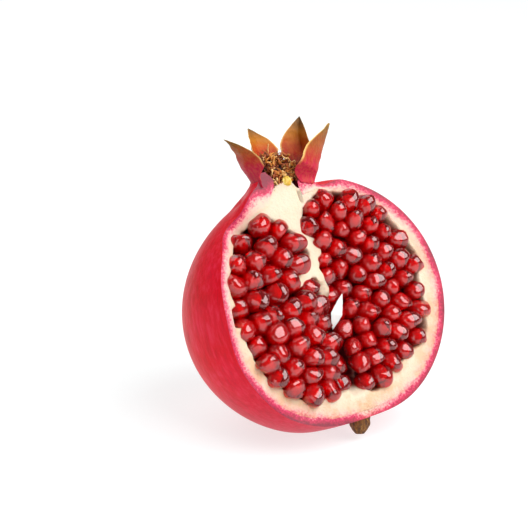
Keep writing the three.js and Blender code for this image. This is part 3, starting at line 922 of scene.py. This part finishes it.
# Dark red down in the chambers: partly juice stain, partly painted shade where the pith lies deep.
juice_and_shade_share = add(tree, "Attribute", {"attribute_name": "juice_and_shade"})
stained_and_shaded = add(tree, "Mix", COLOURS, Factor=juice_and_shade_share, A=yellowed, B="#5a0210")
fibres = add(tree, "TexNoise", Vector=where, Scale=1 / 0.9, Detail=4, Roughness=0.6)
bump = add(tree, "Bump", Strength=0.8, Distance=0.0005, Height=fibres)
fill_in(tree, shader, Base_Color=stained_and_shaded, Roughness=0.48, Normal=bump)
fill_in(tree, shader, Subsurface_Weight=0.3, Subsurface_Radius=(0.003, 0.002, 0.0012), Subsurface_Scale=1)

# %% Thin white skin between the chambers
white_membrane, tree, shader = new_material("thin_white_membrane")
# A membrane is thin and damp, so it is whiter and greyer than the pith and has a faint gloss.
fill_in(tree, shader, Base_Color="#d6d2d0", Roughness=0.4)
lay_down(build_pith(), "pith_body", "pith", "pith", moist_pith, white_membrane)

# %% [markdown]
# ## Aril flesh and seeds
# The flesh of an aril is clear red juice in a thin wet skin, with a woody seed inside. Clear
# flesh bends light like water and swallows green and blue on its way, so a thick aril looks
# deep red and its rim dark. The seed's coat is red here, so that it glows through the flesh
# as a lighter spot and leaves no grey.

# %% Aril flesh
aril_flesh, tree, shader = new_material("wet_aril_flesh")
fill_in(tree, shader, Base_Color="#f20814", Roughness=0.04, IOR=1.40, Transmission_Weight=0.86)
fill_in(tree, shader, Coat_Weight=1, Coat_Roughness=0.05, Coat_IOR=1.55)
absorption = add(tree, "VolumeAbsorption", Color=(0.97, 0.0, 0.05, 1.0), Density=500)
output = next(node for node in tree.nodes if node.bl_idname == "ShaderNodeOutputMaterial")
fill_in(tree, output, Volume=absorption)

# %% Seeds inside the arils
red_seed, tree, shader = new_material("red_seed_coat")
tint = mottled(tree, fruit_millimetres(tree), 3, [(0.35, "#d0000c"), (0.65, "#f0201c")])
fill_in(tree, shader, Base_Color=tint, Roughness=0.5)


SEED_SIZE, SEED_STRETCH = 0.52, 1.45


def add_seed(bm, plan):
    """The seed inside an aril, a small drop along the same axis."""
    turn = turn_to(plan["axis"])
    for vert in bmesh.ops.create_icosphere(bm, subdivisions=2, radius=1)["verts"]:
        girth = 1 + 0.3 * min(vert.co.z, 0.0)
        point = Vector((vert.co.x * girth, vert.co.y * girth, vert.co.z * SEED_STRETCH))
        vert.co = plan["centre"] + turn @ (point * SEED_SIZE * plan["radius"])


def build_cluster(chamber):
    """A chamber's arils, pressed by those near them in every chamber, and their seeds."""
    bm = bmesh.new()
    rng = random.Random(chamber["seed"])
    everyone = [plan for other in CHAMBERS.values() for plan in other["plans"]]
    for plan in chamber["plans"]:
        near = [o for o in everyone if o is not plan and (o["centre"] - plan["centre"]).length < 12]
        add_aril(bm, plan, near, rng)
    flesh_faces = len(bm.faces)
    for plan in chamber["plans"]:
        add_seed(bm, plan)
    bm.faces.ensure_lookup_table()
    for face in bm.faces[flesh_faces:]:
        face.material_index = 1
    return bm


for name, chamber in CHAMBERS.items():
    lay_down(build_cluster(chamber), name + "_fresh", "arils", name, aril_flesh, red_seed)

# %% [markdown]
# ## The crown
# The crown is what is left of the flower: a thick neck with pointed sepals that dried where
# they stood. A sepal is a cupped, tapering blade, so each one starts as a ball that is drawn
# along the sepal's own curve; that keeps its rims thin and rounded and closes its tip.

# %% Sepals
SEPALS = [
    {"around": -81.4, "root": -102.1, "length": 21.0, "width": 12.3, "flare": 42.6, "twist": -12.0,
     "drop": 5.65, "belly": 0.59, "base": 11.55, "crease": 0.12, "start": -0.14},
    {"around": -168.0, "root": -155.9, "length": 14.9, "width": 13.9, "flare": 33.6, "twist": 1.8,
     "drop": -1.2, "belly": 0.69, "base": 8.95, "crease": 0.3, "start": -0.32},
    {"around": 129.5, "root": 120.8, "length": 18.0, "width": 11.6, "flare": 23.0, "twist": 4.5,
     "drop": -1.0, "belly": 0.82, "base": 9.1, "crease": 0.85, "start": -0.32},
    {"around": 79.3, "root": 75.7, "length": 21.5, "width": 17.5, "flare": 15.5, "twist": 37.7,
     "drop": 6.15, "belly": 2.05, "base": 9.85, "crease": 0.05, "start": -0.03},
]
NECK_RIM, SEPAL_THICKNESS, CUPPING = 8.0, 0.75, 24
INNER_STOPS = [(0.0, "#780a0e"), (0.2, "#a82810"), (0.38, "#b44c0c"), (0.6, "#b06a16"), (0.97, "#564028")]
OUTER_STOPS = [(0.0, "#b40c36"), (0.1, "#ac1c1e"), (0.3, "#a04010"), (0.6, "#74501c"), (0.97, "#b08438")]


def cut_front(height):
    """Where the flat cut lies in the crown's frame, at a height."""
    return 2.0 - 0.208 * height


def sepal_point(sepal, t, side, outward):
    """A point of a sepal: t from root to tip, side and outward from -1 to 1."""
    up = max(t, 0.0)
    half_width = 0.5 * sepal["width"] * min(1.0, (1 - t) * (1.25 + sepal["belly"] * up))
    half_width *= 0.72 + 0.28 * smooth_step(-0.05, 0.3, t)
    across = half_width * side
    wave = 0.4 * rough(t * 9, side * 1.6, 1, sepal["around"]) * smooth_step(0.0, 0.4, t)
    fold = sepal["crease"] * half_width * (1 - abs(side)) * smooth_step(-0.1, 0.25, t)
    bend = math.radians(sepal["flare"]) * (0.6 + 0.55 * up)
    reach = sepal["length"] * t
    cupping = across * across / CUPPING
    radius = sepal["base"] + reach * math.sin(bend) - cupping + wave + fold
    height = NECK_RIM - sepal["drop"] + reach * math.cos(bend)
    if t < 0:
        sunk = 0.5 + max(0.0, sepal["base"] - 9.0)
        radius = sepal["base"] - sunk * smooth_step(0.0, 0.28, -t) - cupping
        height = NECK_RIM - sepal["drop"] + reach
    thickness = SEPAL_THICKNESS * (1 - 0.55 * up) * (1 - 0.35 * abs(side))
    radius += thickness * outward
    twist = math.radians(sepal["twist"]) * smooth_step(-0.15, 0.25, t)
    radius += across * math.sin(twist)
    turn_share = smooth_step(0.0, 0.6, t)
    angle = sepal["root"] + (sepal["around"] - sepal["root"]) * turn_share
    turn = Matrix.Rotation(math.radians(angle), 3, "Y")
    point = turn @ Vector((across * math.cos(twist), height, radius))
    knife = cut_front(height) + 0.6 + 9.0 * smooth_step(0.05, 0.5, t)
    point.z = min(point.z, knife + 0.3 * outward)
    return CROWN_FRAME @ point


def build_crown():
    bm = bmesh.new()
    layers = {k: bm.verts.layers.float.new(k) for k in ("along", "side", "outward")}
    for sepal in SEPALS:
        ball = new_ball(bm, 56, 60)
        for vert in ball:
            share = down(vert.co.z)
            t = sepal["start"] + (1 - sepal["start"]) * share
            around = around_z(vert.co)
            end = min(1.0, share / 0.03)
            side, outward = math.cos(around) * end, math.sin(around) * end
            vert.co = sepal_point(sepal, t, side, outward)
            vert[layers["along"]] = t - 0.045 * max(0.0, sepal["drop"])
            vert[layers["side"]], vert[layers["outward"]] = side, outward
    return bm


# %% Dried sepal
dried_sepal, tree, shader = new_material("dried_sepal")
# A sepal dries from its tip, so the eye reads red flesh at the root, then orange, then brown
# paper, with light veins along it and a pale rim where it is thinnest.
where = fruit_millimetres(tree)
t, side, outward = (
    add(tree, "Attribute", {"attribute_name": name}) for name in ("along", "side", "outward")
)
lengthwise = add(tree, "Mapping", Vector=where, Scale=(1, 0.16, 1))
veins = add(tree, "TexNoise", Vector=lengthwise, Scale=1 / 0.9, Detail=4, Roughness=0.6)
blotch = add(tree, "TexNoise", Vector=where, Scale=1 / 3.2, Detail=3, Roughness=0.6)
shifted = add(tree, "Math", TIMES_PLUS, i0=blotch, i1=0.34, i2=t)
moved = add(tree, "Math", {"operation": "SUBTRACT"}, i0=shifted, i1=0.17)
inner = add(tree, "ValToRGB", i0=moved, stops=INNER_STOPS)
outer = add(tree, "ValToRGB", i0=moved, stops=OUTER_STOPS)
outside = add(tree, "MapRange", Value=outward, From_Min=-0.12, From_Max=0.12)
colour = add(tree, "Mix", COLOURS, Factor=outside, A=inner, B=outer)
vein_share = add(tree, "ValToRGB", i0=veins, stops=[(0.42, "#000000"), (0.62, "#686868")])
veined = add(tree, "Mix", COLOURS, Factor=vein_share, A=colour, B="#d09038")
edge = add(tree, "Math", {"operation": "ABSOLUTE"}, i0=side)
rim_share = add(tree, "MapRange", Value=edge, From_Min=0.9, From_Max=0.99)
high = add(tree, "MapRange", Value=t, From_Min=0, From_Max=0.15)
rim_mask = add(tree, "Math", TIMES, i0=rim_share, i1=high)
rimmed = add(tree, "Mix", COLOURS, Factor=rim_mask, A=veined, B="#e6bd70")
bump = add(tree, "Bump", Strength=0.6, Distance=0.0004, Height=veins)
fill_in(tree, shader, Base_Color=rimmed, Roughness=0.55, Specular_IOR_Level=0.25, Normal=bump)
lay_down(build_crown(), "dried_crown", "calyx", "calyx", dried_sepal)

# %% [markdown]
# ## The stamens
# Inside the cup stand the dried stamens, threads with a knob at the end, curled every way.
# There are hundreds, so each is one small ball drawn along a curve: thin for the thread,
# thicker for the knob. A dark ball behind them stands for the shade down in the cup.

# %% A tuft of stamens
STAMENS = 500
CUP_RADIUS = 7.3
THREAD = 0.22
PAINTED_SHADE_TONE = -0.6
TUFT_LOW, TUFT_HEIGHT, TIP_SPAN = -4.0, 18.0, 15.6
TUFT_SIDES = [
    (-6.9, -4.6), (-6.2, 0.0), (-5.6, 3.6), (-5.4, 4.0), (-5.8, 4.2),
    (-6.8, 4.6), (-8.4, 4.6), (-9.0, 3.0), (-7.6, -1.0),
]


def add_stamen(bm, tone, root, middle, end, value, knob):
    """One thread from root to end by way of the middle, with a knob of a radius near its end."""
    turn = turn_to((end - root).normalized())
    for vert in new_ball(bm, 6, 10):
        share = down(vert.co.z)
        centre = root.lerp(middle, share).lerp(middle.lerp(end, share), share)
        girth = THREAD + (knob - THREAD) * smooth_step(0.55, 0.75, share)
        girth *= smooth_step(0.0, 0.06, share) * (1 - smooth_step(0.88, 1.0, share))
        ring = Vector((vert.co.x, vert.co.y, 0))
        if ring.length > 1e-6:
            ring.normalize()
        vert.co = CROWN_FRAME @ (centre + turn @ (ring * girth))
        vert[tone] = value


def tuft_sides(height):
    """The left and the right side of the tuft at a height."""
    return along(TUFT_SIDES, (height - TUFT_LOW) / TUFT_HEIGHT)


def shoulder_limit(height):
    """How far right the tuft may reach low down, where the pith's cone stands before it."""
    return 1.3 * height - 4.4 if height < 2.2 else math.inf


def into_tuft(point):
    """Moves a point into the tuft: between its sides, behind the cut and inside the cup."""
    left, right = tuft_sides(point.y)
    point.x = min(max(point.x, left - 0.4), right + 0.4, shoulder_limit(point.y))
    point.z = min(point.z, cut_front(point.y) - 0.3)
    point.z = max(point.z, -math.sqrt(max(4.0, CUP_RADIUS**2 - point.x**2)))
    return point


def add_painted_cup_shade(bm, tone):
    """The dark ball behind the stamens: painted shade down in the cup."""
    for vert in new_ball(bm, 48, 36):
        height = -3.0 + 13.6 * (0.5 + 0.5 * vert.co.z)
        left, right = tuft_sides(height)
        flat = math.sqrt(max(0.0, 1 - vert.co.z**2))
        x = (left + right) / 2 + vert.co.x * ((right - left) / 2 + 0.8)
        z = cut_front(height) - 4.9 + vert.co.y * 2.7 + 0.8 * rough(x, height, 1.3, 2.0) * flat
        vert.co = CROWN_FRAME @ Vector((x, height, z))
        vert[tone] = PAINTED_SHADE_TONE


def build_stamens():
    bm = bmesh.new()
    tone = bm.verts.layers.float.new("tone")
    add_painted_cup_shade(bm, tone)
    rng = random.Random(5)
    for _ in range(STAMENS):
        height = TUFT_LOW + TIP_SPAN * rng.random() ** 0.9
        left, right = tuft_sides(height)
        x = left + (right - left) * rng.random() ** 1.3
        if x > shoulder_limit(height):
            continue
        deep = 4.0 + 4.2 * smooth_step(6.0, 10.5, height)
        z = cut_front(height) - 0.3 - deep * rng.random() ** 1.5
        end = into_tuft(Vector((x, height, z)))
        way = Vector((rng.uniform(-1, 1), rng.uniform(-0.8, 0.6), rng.uniform(-0.8, 0.3))).normalized()
        root = into_tuft(end + way * rng.uniform(2.2, 4.4))
        jitter = Vector([rng.uniform(-1.8, 1.8) for _ in range(3)])
        middle = into_tuft((root + end) / 2 + jitter)
        add_stamen(bm, tone, root, middle, end, rng.random(), rng.uniform(0.34, 0.62))
    return bm


dry_stamen, tree, shader = new_material("dry_stamen")
# Stamens dry to straw, some lighter than others, so each reads its own tone; specks break it up.
tone = add(tree, "Attribute", {"attribute_name": "tone"})
straws = [(0.0, "#5e2404"), (0.4, "#a0480c"), (0.75, "#c47a24"), (0.92, "#ecc07a")]
toned = add(tree, "ValToRGB", i0=tone, stops=straws)
specks = mottled(tree, fruit_millimetres(tree), 0.5, [(0.5, "#000000"), (0.65, "#808080")], 2, 0.6)
speckled = add(tree, "Mix", COLOURS, Factor=specks, A=toned, B="#5a2f18")
# Painted shade: the dark ball behind the stamens is a near-black maroon.
is_painted_shade = add(tree, "Math", {"operation": "LESS_THAN"}, i0=tone, i1=-0.1)
with_painted_shade = add(tree, "Mix", COLOURS, Factor=is_painted_shade, A=speckled, B="#35040c")
fill_in(tree, shader, Base_Color=with_painted_shade, Roughness=0.6)
lay_down(build_stamens(), "stamen_tuft", "stamens", "stamens", dry_stamen)

# %% [markdown]
# ## The style and the stem stub
# Two small pieces are left: the stump of the style, a yellow knob on the tip of the pith, and
# the woody stub of the stem below. Both are balls drawn to their real profile and roughened.

# %% Style
def build_style():
    bm = bmesh.new()
    for vert in new_ball(bm, 32, 24):
        height = 2.3 + 1.9 * vert.co.z
        girth = 1.9 - 0.45 * vert.co.z + 0.5 * rough(vert.co.x * 3, vert.co.y * 3, 1, vert.co.z * 2)
        vert.co = CROWN_FRAME @ Vector((vert.co.x * girth - 0.2, height, vert.co.y * girth * 0.7 + 0.9))
    return bm


yellow_style, tree, shader = new_material("waxy_yellow_style")
# The stump is firm and a little waxy, so the eye gets an even yellow with a soft shine.
where = fruit_millimetres(tree)
tint = mottled(tree, where, 1.2, [(0.35, "#c99a28"), (0.55, "#e0bd4c"), (0.7, "#ecd98a")])
fill_in(tree, shader, Base_Color=tint, Roughness=0.45)
lay_down(build_style(), "style_stump", "style", "style", yellow_style)

# %% Stem stub
STEM_BASE, STEM_TIP = Vector((0.9, -39.2, 4.0)), Vector((-1.2, -46.0, 3.6))
STEM_RADII = [3.5, 3.6, 3.7, 3.5, 3.1, 2.5, 1.7, 0.9]


def build_stem():
    bm = bmesh.new()
    turn = turn_to((STEM_TIP - STEM_BASE).normalized())
    for vert in new_ball(bm, 40, 44):
        share = down(-vert.co.z)
        around = around_z(vert.co)
        end = smooth_step(0.0, 0.12, share) * (1 - smooth_step(0.86, 1.0, share))
        girth = np.interp(share, np.linspace(0, 1, len(STEM_RADII)), STEM_RADII) * end
        girth *= 1 + 0.09 * math.sin(3 * around + 1) + 0.1 * rough(3 * math.cos(around), share * 5, 1, 9.0)
        ring = Vector((math.cos(around), math.sin(around), 0)) * girth
        length = (STEM_TIP - STEM_BASE).length * min(1.0, share / 0.9)
        vert.co = STEM_BASE + turn @ (ring + Vector((0, 0, length)))
    return bm


stem_bark, tree, shader = new_material("dry_stem_bark")
# Bark shrinks across the stem as it dries, so the eye gets dull brown furrows along it.
where = fruit_millimetres(tree)
lengthwise = add(tree, "Mapping", Vector=where, Scale=(1, 0.3, 1))
furrows = add(tree, "TexNoise", Vector=lengthwise, Scale=1 / 0.8, Detail=4, Roughness=0.65)
tint = add(tree, "ValToRGB", i0=furrows, stops=[(0.3, "#2c1804"), (0.5, "#6c3e0c"), (0.7, "#9c6c28")])
bump = add(tree, "Bump", Strength=0.8, Distance=0.0006, Height=furrows)
fill_in(tree, shader, Base_Color=tint, Roughness=0.7, Normal=bump)
lay_down(build_stem(), "stem_end", "stem", "stem_stub", stem_bark)
